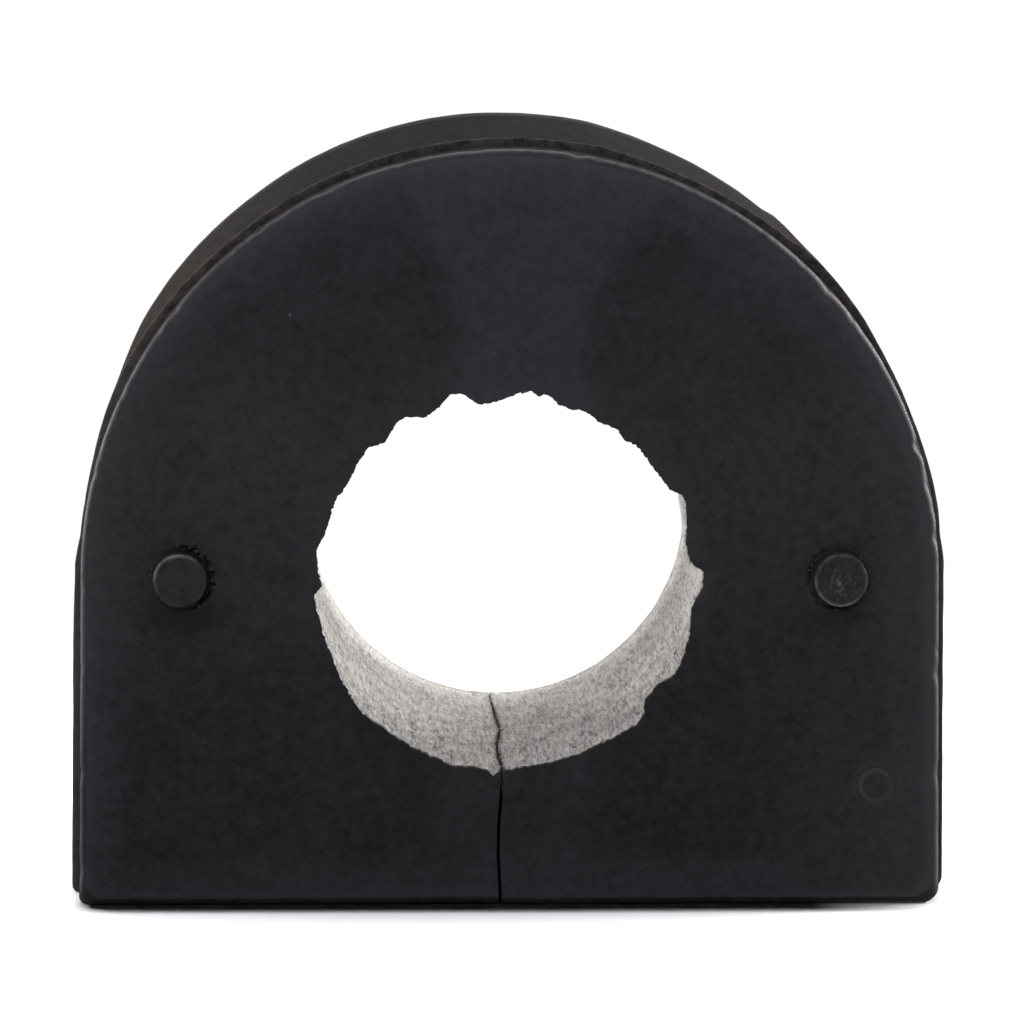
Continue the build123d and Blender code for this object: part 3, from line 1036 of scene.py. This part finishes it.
def paperSweep(name, look):
    # White paper, overexposed as in the photograph, with the part's soft shadow
    material, tree = newMaterial(name)
    place = addNode(tree, "TexCoord")["Object"]
    pulp = {"Vector": place, "Scale": 1 / (look["pulpSize"] * mm), "Detail": 3}
    pulp = addNode(tree, "TexNoise", pulp)[0]
    # Painted contact shadow: the paper darkens where the part shuts out the sky, fading out at the ends
    sky = {"Distance": look["creaseReach"] * mm, "Color": (1, 1, 1, 1)}
    sky = addNode(tree, "AmbientOcclusion", sky, samples=look["rays"])["AO"]
    crease = addNode(tree, "MapRange", [sky, look["closed"], look["open"]])[0]
    crease = addNode(tree, "Math", [pulp, look["pulpWeight"], crease], operation="MULTIPLY_ADD")[0]
    across, along, _ = addNode(tree, "SeparateXYZ", [place])
    for axis, end in ((across, "rightEnd"), (across, "leftEnd"), (along, "rearEnd")):
        low, high, least = look[end]
        end = addNode(tree, "MapRange", [axis, low * mm, high * mm, 0.0, least])[0]
        crease = addNode(tree, "Math", [crease, end], operation="MAXIMUM")[0]
    rays = addNode(tree, "LightPath")
    paper = addNode(tree, "Mix", {0: crease, 6: "#000000", 7: look["paper"]}, data_type="RGBA")[2]
    colour = {0: rays["Is Camera Ray"], 6: look["bounce"], 7: paper}
    colour = addNode(tree, "Mix", colour, data_type="RGBA")[2]
    lit = addNode(tree, "BsdfDiffuse", {"Color": colour})[0]
    glow = addNode(tree, "Emission", {"Color": (1, 1, 1, 1), "Strength": crease})[0]
    distance = addNode(tree, "VectorMath", [place], operation="LENGTH")["Value"]
    away = [distance, look["near"] * mm, look["far"] * mm]
    away = addNode(tree, "MapRange", away, interpolation_type="SMOOTHSTEP")[0]
    away = addNode(tree, "Math", [away, rays["Is Camera Ray"]], operation="MULTIPLY")[0]
    mirrored = [rays["Is Glossy Ray"], rays["Is Transmission Ray"]]
    mirrored = addNode(tree, "Math", mirrored, operation="MAXIMUM")[0]
    glowing = addNode(tree, "Math", [away, mirrored], operation="MAXIMUM")[0]
    surface = addNode(tree, "MixShader", [glowing, lit, glow])[0]
    addNode(tree, "OutputMaterial", [surface])
    return material


def floorPlane(look):
    half, z = look["size"] / 2, -form["drop"]
    corners = [(-half, -half, z), (half, -half, z), (half, half, z), (-half, half, z)]
    mesh = newMesh("floor", corners, [(0, 1, 2, 3)])
    mesh.materials.append(paperSweep("whitePaperSweep", look))
    floor = addObject("floor", mesh)


floorPlane(floorLook)
print("floor made")

# Studio light

# Name, place, the point that it is aimed at, size of the softbox, power in watts, colour
lightLook = [
    ("overheadSoftbox", (-30, 50, 340), (0, 0, 0), (300, 240), 1.4, "#ffffff"),
    ("rightSoftbox", (320, 60, 110), (0, 0, 5), (150, 240), 2.6, "#ffffff"),
    ("leftSoftbox", (-330, 40, 50), (0, 0, 5), (120, 160), 1.5, "#ffffff"),
    ("rearRightSoftbox", (250, 370, 75), (0, 0, -8), (180, 110), 2.3, "#ffffff"),
    ("rearLeftSoftbox", (-300, 330, 45), (0, 0, -5), (120, 100), 1.0, "#ffffff"),
    ("frontFill", (-80, -420, 180), (0, 0, 6), (300, 220), 1.1, "#f1f2ff"),
]


def addLight(name, place, aim, size, power, colour):
    data = bpy.data.lights.new(name, "AREA")
    data.shape = "RECTANGLE"
    data.size, data.size_y = size[0] * mm, size[1] * mm
    data.energy = power
    data.color = toLinear(colour)[:3]
    light = addObject(name, data)
    light.location = Vector(place) * mm
    light.rotation_euler = (Vector(aim) - Vector(place)).to_track_quat("-Z", "Y").to_euler()


for softbox in lightLook:
    addLight(*softbox)

worldLook = {"background": (1.0, 1.0, 1.0, 1.0), "room": 0.12, "backdropEdge": 0.4}


def studioWorld(look):
    # A white backdrop behind the part, in a dim even room; the camera sees white all round
    world = bpy.data.worlds.new("studio")
    world.use_nodes = True
    tree = world.node_tree
    tree.nodes.clear()
    rays = addNode(tree, "LightPath")
    toward = addNode(tree, "TexCoord")["Generated"]
    behind = addNode(tree, "SeparateXYZ", [toward])[1]
    behind = addNode(tree, "MapRange", [behind, 0.0, look["backdropEdge"]])[0]
    mirrored = [rays["Is Glossy Ray"], rays["Is Transmission Ray"]]
    mirrored = addNode(tree, "Math", mirrored, operation="MAXIMUM")[0]
    mirrored = addNode(tree, "Math", [mirrored, behind], operation="MULTIPLY")[0]
    seen = addNode(tree, "Math", [rays["Is Camera Ray"], mirrored], operation="MAXIMUM")[0]
    strength = addNode(tree, "MapRange", [seen, 0.0, 1.0, look["room"]])[0]
    glow = addNode(tree, "Background", {"Color": look["background"], "Strength": strength})[0]
    addNode(tree, "OutputWorld", [glow])
    bpy.context.scene.world = world


studioWorld(worldLook)
bpy.context.scene.view_settings.view_transform = "Standard"
print("lights made")

# Camera, from points of the photograph

cameraLook = {
    "azimuth": -1.547, "elevation": 6.964, "distance": 378.4, "lens": 212.205, "sensor": 36.0,
    "target": (0.08, -19.0, 4.208),
    "roll": 0.149,  # degrees that the camera was held off level
}


def addCamera(look):
    turn, rise = math.radians(look["azimuth"]), math.radians(look["elevation"])
    away = Vector((math.sin(turn) * math.cos(rise), -math.cos(turn) * math.cos(rise), math.sin(rise)))
    data = bpy.data.cameras.new("camera")
    data.lens, data.sensor_width, data.sensor_fit = look["lens"], look["sensor"], "HORIZONTAL"
    data.clip_start, data.clip_end = 10 * mm, 10000 * mm
    camera = addObject("camera", data)
    camera.location = (Vector(look["target"]) + away * look["distance"]) * mm
    roll = Quaternion((0, 0, 1), math.radians(look["roll"]))
    camera.rotation_euler = ((-away).to_track_quat("-Z", "Y") @ roll).to_euler()
    bpy.context.scene.camera = camera


addCamera(cameraLook)
print("camera set")
